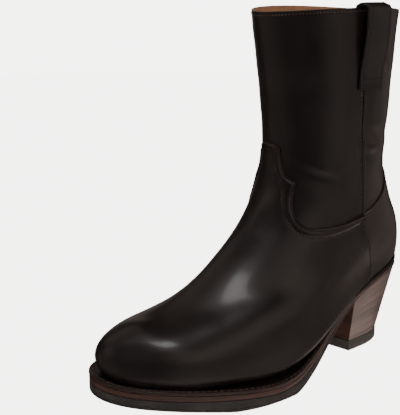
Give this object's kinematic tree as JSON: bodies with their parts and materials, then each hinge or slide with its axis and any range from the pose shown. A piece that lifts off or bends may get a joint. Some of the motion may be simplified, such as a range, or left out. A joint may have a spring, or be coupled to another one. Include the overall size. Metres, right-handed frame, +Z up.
{
  "type": "ankle boot",
  "caption": "Left leather ankle boot: hollow shaft with inner side zip, pull strap, scalloped vamp seam, stitched welt, rubber sole and stacked block heel.",
  "frame": {"origin": "centre of the bounding box at the floor, without the zip's thong", "axes": "+Z up, the toe towards -Y, the wearer's outer side towards +X"},
  "size_m": [0.1122, 0.261, 0.2453],
  "materials": {
    "polished_leather": "polished, near-black brown",
    "piping_leather": "polished, near-black brown",
    "edge_leather": "burnished dark brown edge",
    "stacked_leather": "burnished layers, satin",
    "rubber": "matt black",
    "zip_tape": "woven tape with moulded coil",
    "slider_metal": "dark antique brass",
    "insole_leather": "plain tan"
  },
  "bodies": {
    "root": {"upper": "polished_leather", "vamp": "polished_leather", "counter": "polished_leather", "side_seam_piping": "piping_leather", "pull_strap": "polished_leather", "zip_facing_front": "polished_leather", "zip_facing_back": "polished_leather", "zip_chain": "zip_tape", "zip_patch": "polished_leather", "zip_slider": "slider_metal", "zip_thong": "polished_leather", "insole": "insole_leather", "welt": "edge_leather", "heel_rand": "rubber", "midsole": "edge_leather", "outsole": "rubber", "heel_stack": "stacked_leather", "heel_top_lift": "rubber"}
  },
  "joints": []
}
